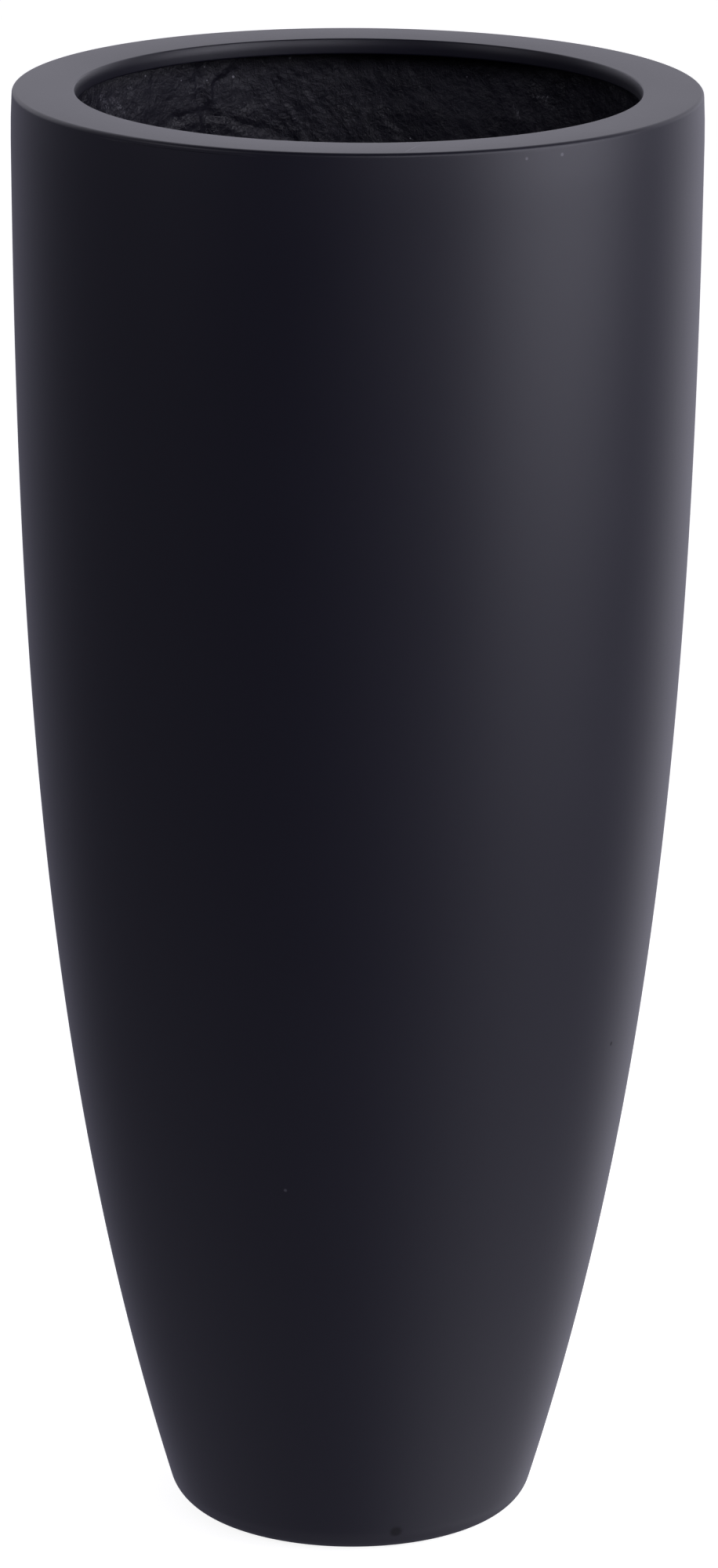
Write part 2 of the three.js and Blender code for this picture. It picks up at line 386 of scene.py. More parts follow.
# Slanting ripples left by the roller on the far wall, around a place at (degrees around, height in mm).
ROLLER_PLACE = (97.0, 757)
ROLLER_SPREAD = 27 * MM
ROLLER_PITCH = 8 * MM
ROLLER_DEPTH = 0.3 * MM
ROLLER_PRESSED = 0.7  # on average, more in some patches and less in others
ROLLER_PATCH_SIZE = 24 * MM
ROLLER_BEND = 4  # radians that a ripple strays from its line
ROLLER_BEND_SIZE = 26 * MM


# How far along the wall a place is from the angle of 0, and its height, in metres.
def unrolled(degrees, millimetres):
    return np.array([math.radians(degrees) * WIDEST_RADIUS, millimetres * MM])


# The share of one more layer of mat, by angle and height.
def lap_share(angles, heights):
    pitch = FULL_TURN / LAP_COUNT
    lean = LAP_LEAN * np.maximum(0, heights - LAP_LEANS_FROM)
    wander = sum(reach * np.sin(heights * waves + start) for reach, waves, start in LAP_WANDER)
    along = ((angles - FIRST_LAP - lean - wander) % pitch) * WIDEST_RADIUS
    ramp = LAP_RAMP * WIDEST_RADIUS
    full = np.clip((LAP_WIDTH + ramp - along) / ramp, 0, 1)
    return np.where(along < LAP_EDGE_WIDTH, np.minimum(full, along / LAP_EDGE_WIDTH), full)


# How far each place is from a line through other places.
def from_line(places, line):
    nearest = np.full(places.shape[:-1], np.inf)
    corners = [unrolled(*corner) for corner in line]
    for start, end in zip(corners, corners[1:]):
        run = end - start
        share = np.clip((places - start) @ run / (run @ run), 0, 1)
        gap = np.linalg.norm(places - start - share[..., None] * run, axis=-1)
        nearest = np.minimum(nearest, gap)
    return nearest


# The radius of the lining's rough inner face, at arrays of angles and heights that go together.
def mat_inside(angles, heights):
    angles, heights = np.broadcast_arrays(angles, heights)
    smooth = lining_inside(heights)
    wave = np.sin(RIPPLE_TURNS * angles + FULL_TURN * heights / RIPPLE_HEIGHT)
    cross = np.cos(CROSS_TURNS * (angles - math.pi * heights / RIPPLE_HEIGHT))
    spots = in_space(angles, smooth, heights)
    wandering = heights + FURROW_WANDER * swells(spots, FURROW_WANDER_SIZE, seed=7)
    places = np.stack([angles * WIDEST_RADIUS, wandering], axis=-1)
    furrows = sum(
        depth * MM * np.exp(-((from_line(places, line) / (width * MM)) ** 2))
        for depth, width, line in FURROWS
    )
    from_roller = places - unrolled(*ROLLER_PLACE)
    pressed = ROLLER_PRESSED + swells(spots, ROLLER_PATCH_SIZE, seed=8)
    rolled = np.exp(-((from_roller**2).sum(-1)) / ROLLER_SPREAD**2) * pressed
    across = (from_roller[..., 1] - from_roller[..., 0]) / ROLLER_PITCH
    bent = ROLLER_BEND * swells(spots, ROLLER_BEND_SIZE, seed=6)
    ripples = rolled * np.sin(across * FULL_TURN + bent)
    inside = (
        smooth
        - LAP_RISE * lap_share(angles, heights)
        - RIPPLE * wave * cross
        - uneven(spots, LUMPS, seed=3)
        + furrows
        - ROLLER_DEPTH * ripples
    )
    return np.minimum(inside, smooth + MAT_THICKNESS - THINNEST_MAT)


def lining_mesh():
    corner = foot_corner(lining_inside, LINING_FOOT_TOP, MAT_INNER_ROUND, steps=6)
    far_rows = np.arange(corner[-1][1] + FAR_ROW, CLOSE_ROWS_FROM, FAR_ROW)
    close_rows = np.arange(CLOSE_ROWS_FROM, WALL_TOP, CLOSE_ROW)
    heights = np.concatenate([far_rows, close_rows, [WALL_TOP]])[::-1]
    back = [
        (FOOT_OPENING, LINING_FOOT),
        *foot_corner(lining_outside, LINING_FOOT, FOOT_INNER_ROUND - BOND_LINE, steps=6),
        *up_wall(lining_outside, BACK_FOLLOWS_FROM, WALL_TOP, steps=24),
    ]
    foot = [*reversed(corner), (FOOT_OPENING, LINING_FOOT_TOP)]
    back_radius, back_height = repeated(back, LINING_ANGLES)
    foot_radius, foot_height = repeated(foot, LINING_ANGLES)
    face_radius = mat_inside(LINING_ANGLES[:, None], heights)
    face_height = np.broadcast_to(heights, face_radius.shape)
    radius = np.concatenate([back_radius, face_radius, foot_radius], axis=1)
    height = np.concatenate([back_height, face_height, foot_height], axis=1)
    return all_round("lining", LINING_ANGLES, radius, height)


# ---- Strands of glass that stand proud of the resin ----

STRAND_SIDES = 4
STRAND_STEPS = 7
STRAND_ALONG = np.linspace(-0.5, 0.5, STRAND_STEPS)  # shares of the length, from its middle
STRAND_TIP = 0.35  # how blunt the ends are, in steps
STRAND_BACK = 0.35  # the flat of a strand's back, as a share of its width
STRAND_SUNK = 0.1 * MM  # into the resin

# Strands on the wall: more of them near the rim, with sizes in mm from the least to the most.
WALL_STRANDS = 420
WALL_STRANDS_FROM = 12 * MM  # below the top of the rim
WALL_STRANDS_SPREAD = 720 * MM
WALL_STRANDS_LOWEST = 45 * MM
WALL_STRANDS_CLEAR = 1 * MM  # of the bead under the rim
WALL_STRAND_BEND = 0.5
WALL_STRAND_LENGTH = (4, 13)
WALL_STRAND_WIDTH = (0.3, 0.8)
WALL_STRAND_PROUD = (0.05, 0.16)

# Strands on the floor, between the drain and the bead.
FLOOR_STRANDS = 150
FLOOR_STRANDS_AREA = (0.09, 0.8)  # of the floor, counted from its centre
FLOOR_STRANDS_INNER = 1.2 * DRAIN_RADIUS
FLOOR_STRANDS_OUTER = 0.97 * FLOOR_RADIUS
FLOOR_STRAND_LENGTH = (5, 16)
FLOOR_STRAND_WIDTH = (0.5, 1.1)
FLOOR_STRAND_PROUD = (0.08, 0.2)


# Adds one strand to the lists of points and faces: places are the strand's line on the surface, and
# ways_off the way off the surface at each of them.
def add_strand(points, faces, places, ways_off, width, proud):
    first = len(points)
    last_step = len(places) - 1
    for step, (place, off) in enumerate(zip(places, ways_off)):
        share = math.sin(math.pi * (step + STRAND_TIP) / (last_step + 2 * STRAND_TIP))
        ahead = places[min(step + 1, last_step)] - places[max(step - 1, 0)]
        side = ahead.cross(off).normalized() * (width / 2 * share)
        foot = place - off * STRAND_SUNK
        back = place + off * (proud * share)
        points += [foot - side, back - side * STRAND_BACK, back + side * STRAND_BACK, foot + side]
    for step in range(last_step):
        here = first + step * STRAND_SIDES
        there = here + STRAND_SIDES
        for corner in range(STRAND_SIDES):
            beside = (corner + 1) % STRAND_SIDES
            faces.append((here + corner, here + beside, there + beside, there + corner))
    last = first + last_step * STRAND_SIDES
    faces.append(tuple(first + corner for corner in reversed(range(STRAND_SIDES))))
    faces.append(tuple(last + corner for corner in range(STRAND_SIDES)))


def add_wall_strands(points, faces, draw):
    chosen = []
    for _ in range(WALL_STRANDS):
        depth = draw.random() ** 2 * WALL_STRANDS_SPREAD
        length = draw.uniform(*WALL_STRAND_LENGTH) * MM
        angle = draw.uniform(0, FULL_TURN)
        slant = draw.uniform(0, math.pi)
        chosen.append((angle, HEIGHT - WALL_STRANDS_FROM - depth, slant, length))
    middle_angle, middle_height, slant, length = (np.array(values)[:, None] for values in zip(*chosen))
    bend = np.array([draw.uniform(-WALL_STRAND_BEND, WALL_STRAND_BEND) for _ in chosen])[:, None]
    bow = bend * STRAND_ALONG**2
    angles = middle_angle - length * (STRAND_ALONG * np.cos(slant) - bow * np.sin(slant)) / WIDEST_RADIUS
    heights = middle_height + length * (STRAND_ALONG * np.sin(slant) + bow * np.cos(slant))
    heights = np.clip(heights, WALL_STRANDS_LOWEST, RIM_BEAD_BOTTOM - WALL_STRANDS_CLEAR)
    lines = in_space(angles, mat_inside(angles, heights), heights)
    ways_in = in_space(angles, -1.0, 0.0)
    for line, inwards in zip(lines, ways_in):
        places = [Vector(place) for place in line]
        ways_off = [Vector(way) for way in inwards]
        width = draw.uniform(*WALL_STRAND_WIDTH) * MM
        add_strand(points, faces, places, ways_off, width, draw.uniform(*WALL_STRAND_PROUD) * MM)


def add_floor_strands(points, faces, draw):
    ways_up = [Vector((0, 0, 1))] * STRAND_STEPS
    for _ in range(FLOOR_STRANDS):
        reach = math.sqrt(draw.uniform(*FLOOR_STRANDS_AREA)) * FLOOR_RADIUS
        angle = draw.uniform(0, FULL_TURN)
        heading = draw.uniform(0, math.pi)
        length = draw.uniform(*FLOOR_STRAND_LENGTH) * MM
        middle = Vector((reach * math.cos(angle), reach * math.sin(angle), 0))
        way = Vector((math.cos(heading), math.sin(heading), 0))
        line = [middle + way * (length * share) for share in STRAND_ALONG]
        if any(not FLOOR_STRANDS_INNER < p.length < FLOOR_STRANDS_OUTER for p in line):
            continue
        for p in line:
            p.z = FLOOR_TOP + float(floor_relief(np.array([p.x, p.y, 0])))
        width = draw.uniform(*FLOOR_STRAND_WIDTH) * MM
        add_strand(points, faces, line, ways_up, width, draw.uniform(*FLOOR_STRAND_PROUD) * MM)


def strands_mesh():
    draw = random.Random(11)
    points, faces = [], []
    add_wall_strands(points, faces, draw)
    add_floor_strands(points, faces, draw)
    mesh = bpy.data.meshes.new("strands")
    mesh.from_pydata([tuple(p) for p in points], [], faces)
    return mesh


# ---- Beads of filled resin, smoothed by a finger ----

BEAD_ANGLES = even_angles(360)
BEAD_SWELLS = [(0.22 * MM, 30 * MM), (0.1 * MM, 9 * MM)]  # as (height, size)


# A bead from its section at each angle. Its hollow face begins at one of the section's points, and is
# left a little uneven.
def bead_mesh(name, sections, hollow_from, seed):
    radius, height = np.moveaxis(np.array(sections), -1, 0)
    spots = in_space(BEAD_ANGLES[:, None], radius, height)
    relief = uneven(spots, BEAD_SWELLS, seed)
    relief[:, :hollow_from] = 0
    return all_round(name, BEAD_ANGLES, radius + relief, height)


def rim_bead_mesh():
    top = RIM_SEAT - BOND_LINE
    bottom = RIM_BEAD_BOTTOM
    reach = lining_inside(top) - (top - bottom)
    top_radii = mat_inside(BEAD_ANGLES, top) - BOND_LINE
    bottom_radii = mat_inside(BEAD_ANGLES, bottom) - BOND_LINE
    sections = []
    for top_radius, bottom_radius in zip(top_radii, bottom_radii):
        seat = [(bottom_radius, bottom), (top_radius, top), (reach, top)]
        toe = (bottom_radius - BEAD_TOE, bottom)
        sections.append(seat + hollow_face((reach, top - BEAD_TOE), (top_radius, top), toe))
    return bead_mesh("rim_bead", sections, hollow_from=len(seat), seed=31)


def floor_bead_mesh():
    start = (FLOOR_RADIUS + BOND_LINE, FLOOR_TOP - BOND_LINE)
    foot = LINING_FOOT_TOP + BOND_LINE
    top = FLOOR_BEAD_TOP
    lining_corner = foot_corner(lining_inside, foot, MAT_INNER_ROUND - BOND_LINE, steps=6)
    corner = [(radius - BOND_LINE, z) for radius, z in lining_corner]
    sections = []
    for top_radius in mat_inside(BEAD_ANGLES, top) - BOND_LINE:
        seat = [(start[0], foot), *corner[1:], (top_radius, top)]
        sections.append(seat + hollow_face((top_radius - BEAD_TOE, top), corner[-1], start))
    return bead_mesh("floor_bead", sections, hollow_from=len(seat), seed=41)


# ---- Floor ----

FLOOR_ANGLES = even_angles(240)
FLOOR_RINGS = 40
FLOOR_SWELLS = [(0.2 * MM, 32 * MM), (0.1 * MM, 11 * MM)]  # as (height, size)
FLOOR_SUNK = 0.3 * MM  # of the uneven face, on average


def floor_relief(spots):
    return uneven(spots, FLOOR_SWELLS, seed=21) - FLOOR_SUNK


def floor_mesh():
    reach = np.linspace(FLOOR_RADIUS - FLOOR_EDGE_WIDTH, DRAIN_RADIUS + DRAIN_EDGE, FLOOR_RINGS)
    outline = [
        (DRAIN_RADIUS, FLOOR_UNDERSIDE),
        (FLOOR_RADIUS, FLOOR_UNDERSIDE),
        (FLOOR_RADIUS, FLOOR_TOP - FLOOR_EDGE_DEPTH),
        *((radius, FLOOR_TOP) for radius in reach),
        (DRAIN_RADIUS, FLOOR_TOP - DRAIN_EDGE),
    ]
    radius, height = repeated(outline, FLOOR_ANGLES)
    spots = in_space(FLOOR_ANGLES[:, None], radius, 0)
    relief = np.where(height == FLOOR_TOP, floor_relief(spots), 0)
    return all_round("floor", FLOOR_ANGLES, radius, height + relief)


# ---- Plug ----

PLUG_FLATS = 128


def plug_outline():
    stem = DRAIN_RADIUS - PLUG_CLEARANCE
    shoulder = PLUG_BOTTOM + PLUG_HEAD_THICKNESS
    groove = PLUG_BOTTOM + PLUG_GROOVE_DEPTH
    soft = PLUG_SOFT_EDGE
    edge = PLUG_EDGE_ROUND
    rim = PLUG_HEAD_RADIUS - edge
    return [
        (0, PLUG_BOTTOM),
        *arc(PLUG_GRIP_RADIUS - soft, PLUG_BOTTOM + soft, soft, -90, 0, steps=4),
        *arc(PLUG_GRIP_RADIUS + soft, groove - soft, soft, 180, 90, steps=4),
        *arc(PLUG_GROOVE_RADIUS - soft, groove - soft, soft, 90, 0, steps=4),
        *arc(PLUG_GROOVE_RADIUS + soft, PLUG_BOTTOM + soft, soft, 180, 270, steps=4),
        *arc(rim, PLUG_BOTTOM + edge, edge, -90, 0, steps=6),
        *arc(rim, shoulder - edge, edge, 0, 90, steps=6),
        *arc(stem + soft, shoulder + soft, soft, 270, 180, steps=4),
        *arc(stem - PLUG_STEM_LEAD, PLUG_TOP - PLUG_STEM_LEAD, PLUG_STEM_LEAD, 0, 90, steps=5),
        (0, PLUG_TOP),
    ]


# ---- Finishes ----


# A value inside a recipe's nodes. Arithmetic on it adds the nodes that work it out.
class Value:
    def __init__(self, recipe, socket):
        self.recipe = recipe
        self.socket = socket

    def __add__(self, other):
        return self.recipe.maths("ADD", self, other)

    def __radd__(self, other):
        return self.recipe.maths("ADD", other, self)

    def __sub__(self, other):
        return self.recipe.maths("SUBTRACT", self, other)

    def __rsub__(self, other):
        return self.recipe.maths("SUBTRACT", other, self)

    def __mul__(self, other):
        return self.recipe.maths("MULTIPLY", self, other)

    def __rmul__(self, other):
        return self.recipe.maths("MULTIPLY", other, self)


# The nodes of one finish, of the floor or of the world.
class Recipe:
    def __init__(self, owner):
        owner.use_nodes = True
        self.tree = owner.node_tree
        self.tree.nodes.clear()

    def add(self, kind, settings=None, inputs=None, output=0):
        node = self.tree.nodes.new(kind)
        for name, value in (settings or {}).items():
            setattr(node, name, value)
        for name, value in (inputs or {}).items():
            if isinstance(value, Value):
                self.tree.links.new(value.socket, node.inputs[name])
            else:
                node.inputs[name].default_value = value
        return Value(self, node.outputs[output]) if node.outputs else None

    def maths(self, operation, *values):
        return self.add("ShaderNodeMath", {"operation": operation}, dict(enumerate(values)))

    def vector_maths(self, operation, inputs, output="Vector"):
        return self.add("ShaderNodeVectorMath", {"operation": operation}, inputs, output)

    def place(self):
        return self.add("ShaderNodeTexCoord", output="Object")

    def parts(self, vector):
        return [self.add("ShaderNodeSeparateXYZ", {}, {"Vector": vector}, axis) for axis in range(3)]

    def together(self, x, y, z):
        return self.add("ShaderNodeCombineXYZ", {}, {"X": x, "Y": y, "Z": z})

    # 0 up to low, 1 from high on, eased in between.
    def eased(self, value, low, high):
        inputs = {"Value": value, "From Min": low, "From Max": high}
        return self.add("ShaderNodeMapRange", {"interpolation_type": "SMOOTHSTEP"}, inputs)

    def noise(self, where, scale, detail=2.0, harshness=0.5):
        inputs = {"Vector": where, "Scale": scale, "Detail": detail, "Roughness": harshness}
        return self.add("ShaderNodeTexNoise", {}, inputs)

    def blended(self, share, first, second):
        settings = {"data_type": "RGBA"}
        return self.add("ShaderNodeMix", settings, {0: share, 6: first, 7: second}, 2)

    # Tiny dots, in a share of the cells of a loose grid.
    def specks(self, where, cells_per_metre, radius, share):
        inputs = {"Vector": where, "Scale": cells_per_metre}
        gap = self.add("ShaderNodeTexVoronoi", {}, inputs, "Distance")
        tint = self.add("ShaderNodeTexVoronoi", {}, inputs, "Color")
        pick = self.add("ShaderNodeSeparateColor", {}, {"Color": tint}, 0)
        rim = radius * cells_per_metre
        solid = rim * 0.5
        from_pick = 1 - share
        return (1 - self.eased(gap, solid, rim)) * self.eased(pick, from_pick, from_pick + 0.01)

    # One small mark of a given radius around a place.
    def mark(self, where, centre, radius):
        gap = self.vector_maths("DISTANCE", {0: where, 1: centre}, "Value")
        solid = radius * 0.4
        return 1 - self.eased(gap, solid, radius)

    # A fine straight line between two places.
    def stroke(self, where, start, end, half_width):
        run = Vector(end) - Vector(start)
        past = self.vector_maths("SUBTRACT", {0: where, 1: start})
        along = self.vector_maths("DOT_PRODUCT", {0: past, 1: run / run.length_squared}, "Value")
        share = self.add("ShaderNodeClamp", {}, {"Value": along})
        nearest = self.vector_maths("SCALE", {0: run, "Scale": share})
        gap = self.vector_maths("DISTANCE", {0: past, 1: nearest}, "Value")
        solid = half_width * 0.3
        return 1 - self.eased(gap, solid, half_width)

    def bump(self, height, depth, under=None):
        inputs = {"Height": height, "Distance": depth, "Strength": 1.0}
        if under:
            inputs["Normal"] = under
        return self.add("ShaderNodeBump", {}, inputs)

    def surface(self, **inputs):
        named = {name.replace("_", " "): value for name, value in inputs.items()}
        shader = self.add("ShaderNodeBsdfPrincipled", {}, named)
        self.add("ShaderNodeOutputMaterial", {}, {"Surface": shader})


# A colour in linear light, from red, green and blue on a screen's scale of 0 to 255.
def linear(red, green, blue):
    def channel(value):
        share = value / 255
        return share / 12.92 if share <= 0.04045 else ((share + 0.055) / 1.055) ** 2.4

    return (channel(red), channel(green), channel(blue), 1.0)


def polar(degrees, reach, z):
    angle = math.radians(degrees)
    return (reach * math.cos(angle), reach * math.sin(angle), z)


# A place on the outside of the wall.
def on_wall(degrees, millimetres):
    z = millimetres * MM
    return polar(degrees, float(outside(z)), z)


# A place on the lining's face.
def on_lining(degrees, millimetres):
    z = millimetres * MM
    return polar(degrees, float(mat_inside(np.array(math.radians(degrees)), np.array(z))), z)


# Small round marks on the wall or on the lining, from (degrees around, height in mm, radius in mm).
def marks(recipe, where, dots, on_surface):
    return sum(recipe.mark(where, on_surface(degrees, z), r * MM) for degrees, z, r in dots)


SATIN_CHARCOAL = linear(14, 13, 27)
SATIN_DUSTY = linear(26, 25, 38)
SATIN_DEEP = linear(10, 9, 15)
SCRATCHED = linear(120, 119, 126)
SATIN_ROUGHNESS = 0.40

# Marks on the painted wall and rim, as (degrees around, height in mm, radius in mm).
WALL_DOTS_PALE = [(-103.8, 227.5, 1.2), (-62.0, 791.8, 1.1), (-55.3, 791.9, 1.3)]
WALL_DOTS_DARK = [(-27.6, 288.0, 1.6), (-75.4, 14.0, 4.6)]

# A pale hair scratch across the rim, as (degrees around, radius in mm).
RIM_SCRATCH = [(-82.1, 179), (-79.7, 166), (-76.7, 155.5)]
SCRATCH_HALF_WIDTH = 0.5 * MM

# Where the filled seam under the rim shows through the paint, in degrees around.
SEAM_SHOWS = (-133, -109)
SEAM_FADES = 0.08  # radians to each side of both ends
SEAM_CORE = 0.1 * MM
SEAM_HALF_WIDTH = 0.4 * MM
SEAM_DEPTH = 0.4 * MM

# Where the foot is scuffed, and where it no longer is.
SCUFFED_TO = 3 * MM
UNSCUFFED_FROM = 16 * MM


# The filled seam: 1 along its middle, where it shows, and 0 away from it.
def rim_seam(recipe, x, y, z):
    around = recipe.maths("ARCTAN2", y, x)
    first, last = (math.radians(degrees) for degrees in SEAM_SHOWS)
    begun = recipe.eased(around, first - SEAM_FADES, first + SEAM_FADES)
    ended = recipe.eased(around, last - SEAM_FADES, last + SEAM_FADES)
    off_seam = recipe.maths("ABSOLUTE", z - RIM_SEAT)
    return begun * (1 - ended) * (1 - recipe.eased(off_seam, SEAM_CORE, SEAM_HALF_WIDTH))


def rim_scratch(recipe, place):
    corners = [polar(angle, reach * MM, HEIGHT) for angle, reach in RIM_SCRATCH]
    runs = zip(corners, corners[1:])
    return sum(recipe.stroke(place, start, end, SCRATCH_HALF_WIDTH) for start, end in runs)


def satin_paint():
    paint = bpy.data.materials.new("satin_paint")
    recipe = Recipe(paint)
    place = recipe.place()
    cloud = recipe.noise(place, scale=7, detail=3)
    grain = recipe.noise(place, scale=1500, detail=2, harshness=0.6)
    peel = recipe.noise(place, scale=260, detail=2)
    dust = recipe.specks(place, cells_per_metre=26, radius=0.35 * MM, share=0.18)
    pale = marks(recipe, place, WALL_DOTS_PALE, on_wall)
    dark = marks(recipe, place, WALL_DOTS_DARK, on_wall)
    colour = recipe.blended(0.22 * cloud + 0.5 * dust, SATIN_CHARCOAL, SATIN_DUSTY)
    colour = recipe.blended(0.5 * rim_scratch(recipe, place) + 0.35 * pale, colour, SCRATCHED)
    colour = recipe.blended(0.8 * dark, colour, SATIN_DEEP)
    x, y, z = recipe.parts(place)
    scuffed = 1 - recipe.eased(z, SCUFFED_TO, UNSCUFFED_FROM)
    roughness = SATIN_ROUGHNESS + 0.06 * cloud + 0.05 * grain + 0.1 * dust + 0.3 * dark + 0.3 * scuffed
    fine = recipe.bump(grain, 0.012 * MM)
    peeled = recipe.bump(peel, 0.02 * MM, fine)
    normal = recipe.bump(0 - rim_seam(recipe, x, y, z), SEAM_DEPTH, peeled)
    recipe.surface(Base_Color=colour, Roughness=roughness, Normal=normal)
    return paint


# How far around the wall, from the free edge of a lap, and how high, as a flat sheet.
def laid_flat(recipe):
    x, y, z = recipe.parts(recipe.place())
    edge = FIRST_LAP + FULL_TURN / 2
    across = x * math.cos(edge) + y * math.sin(edge)
    along = y * math.cos(edge) - x * math.sin(edge)
    around = recipe.maths("ARCTAN2", 0 - along, 0 - across) * WIDEST_RADIUS
    return recipe.together(around, z, 0.0)


FLECK_WAYS = 5
FLECK_FIRST_WAY = 0.3  # radians from level
FLECK_SHIFT = (1.7, 2.3)  # metres that the flecks of one way lie from those of the next
FLECKS_PER_METRE = (110.0, 1100.0, 1.0)  # along them and across them


# Fine chopped strands that show through the resin: long thin flecks, lying several ways.
def chopped_strands(recipe, sheet):
    flecks = 0
    for way in range(FLECK_WAYS):
        angle = math.pi * way / FLECK_WAYS + FLECK_FIRST_WAY
        centre = (way * FLECK_SHIFT[0], way * FLECK_SHIFT[1], 0)
        inputs = {"Vector": sheet, "Angle": angle, "Center": centre}
        turned_sheet = recipe.add("ShaderNodeVectorRotate", {"rotation_type": "Z_AXIS"}, inputs)
        stretched = recipe.vector_maths("MULTIPLY", {0: turned_sheet, 1: FLECKS_PER_METRE})
        fleck = recipe.noise(stretched, scale=1.0, detail=1)
        flecks = flecks + recipe.eased(fleck, 0.58, 0.72)
    return flecks


BARE_LAMINATE = linear(27, 26, 36)
BARE_STRANDS = linear(49, 48, 57)
RESIN_RICH = linear(22, 21, 30)
CRUMB = linear(150, 149, 156)

# Bundles of strands that show pale through the resin: half a width in mm, and places along them as
# (degrees around, height in mm).
PALE_BUNDLES = [
    (3.2, [(141.0, 771.5), (139.9, 765.0), (139.4, 759.0)]),
    (2.4, [(138.6, 769.0), (137.0, 764.1), (136.0, 761.2)]),
    (1.6, [(145.4, 775.5), (143.0, 776.2)]),
    (1.8, [(134.6, 773.6), (133.7, 769.5)]),
    (2.0, [(61.1, 758.6), (60.6, 755.6), (60.1, 752.8)]),
    (1.1, [(56.6, 765.5), (54.5, 766.3), (54.7, 762.0)]),
    (0.9, [(57.5, 766.6), (57.3, 764.4)]),
]

# Pale crumbs stuck in the resin, as (degrees around, height in mm, radius in mm).
CRUMBS = [
    (118.1, 779.8, 0.8),
    (112.4, 772.7, 0.9),
    (131.0, 779.0, 0.7),
    (102.2, 782.2, 0.8),
    (117.7, 772.2, 0.6),
    (123.0, 773.7, 0.5),
    (135.2, 781.9, 0.5),
    (70.4, 773.1, 0.6),
    (80.6, 736.8, 0.5),
]


# The pale bundles, broken up where resin covers their strands.
def pale_bundles(recipe, place):
    bundles = sum(
        recipe.stroke(place, on_lining(*start), on_lining(*end), half_width * MM)
        for half_width, line in PALE_BUNDLES
        for start, end in zip(line, line[1:])
    )
    covering = recipe.noise(place, scale=900, detail=3, harshness=0.7)
    return bundles * recipe.eased(covering, 0.48, 0.64)


def bare_laminate():
    laminate = bpy.data.materials.new("bare_laminate")
    recipe = Recipe(laminate)
    place = recipe.place()
    flecks = chopped_strands(recipe, laid_flat(recipe))
    rich = recipe.eased(recipe.noise(place, scale=38, detail=3), 0.5, 0.62)
    lumps = recipe.noise(place, scale=330, detail=3, harshness=0.6)
    knots = recipe.noise(place, scale=130, detail=2)
    grit = recipe.specks(place, cells_per_metre=150, radius=0.45 * MM, share=0.05)
    crumbs = marks(recipe, place, CRUMBS, on_lining)
    pale = 0.35 * grit + 0.8 * crumbs + 0.34 * pale_bundles(recipe, place)
    colour = recipe.blended(0.3 * flecks, BARE_LAMINATE, BARE_STRANDS)
    colour = recipe.blended(0.6 * rich, colour, RESIN_RICH)
    colour = recipe.blended(pale, colour, CRUMB)
    roughness = 0.5 - 0.08 * rich + 0.1 * flecks
    strands = recipe.bump(flecks, 0.1 * MM)
    normal = recipe.bump(lumps + 1.5 * knots, 0.9 * MM, strands)
    recipe.surface(Base_Color=colour, Roughness=roughness, Normal=normal, Specular_IOR_Level=0.4)
    return laminate


FILLED_RESIN = linear(26, 25, 31)
FILLED_PALE = linear(38, 37, 43)


def filled_resin():
    resin = bpy.data.materials.new("filled_resin")
    recipe = Recipe(resin)
    place = recipe.place()
    cloud = recipe.noise(place, scale=55, detail=3)
    grit = recipe.noise(place, scale=1300, detail=2, harshness=0.6)
    pits = recipe.specks(place, cells_per_metre=160, radius=0.5 * MM, share=0.12)
    colour = recipe.blended(0.5 * cloud, FILLED_RESIN, FILLED_PALE)
    roughness = 0.5 + 0.15 * cloud
    normal = recipe.bump(grit - 2 * pits, 0.06 * MM)
    recipe.surface(Base_Color=colour, Roughness=roughness, Normal=normal)
    return resin


PLUG_BLACK = linear(17, 17, 18)
PLUG_CHALKY = linear(44, 44, 45)


def plug_rubber():
    rubber = bpy.data.materials.new("plug_rubber")
    recipe = Recipe(rubber)
    place = recipe.place()
    bloom = recipe.eased(recipe.noise(place, scale=120, detail=4, harshness=0.6), 0.45, 0.75)
    grain = recipe.noise(place, scale=2600, detail=2, harshness=0.6)
    colour = recipe.blended(0.35 * bloom, PLUG_BLACK, PLUG_CHALKY)
    roughness = 0.62 + 0.16 * bloom
    normal = recipe.bump(grain, 0.03 * MM)
    recipe.surface(Base_Color=colour, Roughness=roughness, Normal=normal)
    return rubber


FINISHES = {
    "satin_paint": satin_paint(),
    "bare_laminate": bare_laminate(),
    "filled_resin": filled_resin(),
    "plug_rubber": plug_rubber(),
}

# ---- The planter's pieces ----

fit(turned("shell", shell_outline(), SKIN_FLATS), "shell", "planter", "body_shell", "satin_paint")
fit(rim_mesh(), "rim", "planter", "rim_ring", "satin_paint")
fit(lining_mesh(), "lining", "planter", "mat_lining", "bare_laminate")
fit(strands_mesh(), "loose_strands", "planter", None, "bare_laminate")
fit(rim_bead_mesh(), "rim_bead", "planter", "rim_bond_fillet", "filled_resin")
fit(floor_bead_mesh(), "floor_bead", "planter", "base_bond_fillet", "filled_resin")
fit(floor_mesh(), "floor_disc", "planter", "base_disc", "bare_laminate")
fit(turned("plug", plug_outline(), PLUG_FLATS), "plug", "plug", "drain_plug", "plug_rubber")

# ---- Ground, camera and light ----

WHITE = (1, 1, 1, 1)
GROUND_HALF = 30.0
GROUND_PALE = (0.42, 0.42, 0.42, 1)
GROUND_GLOW = 0.9


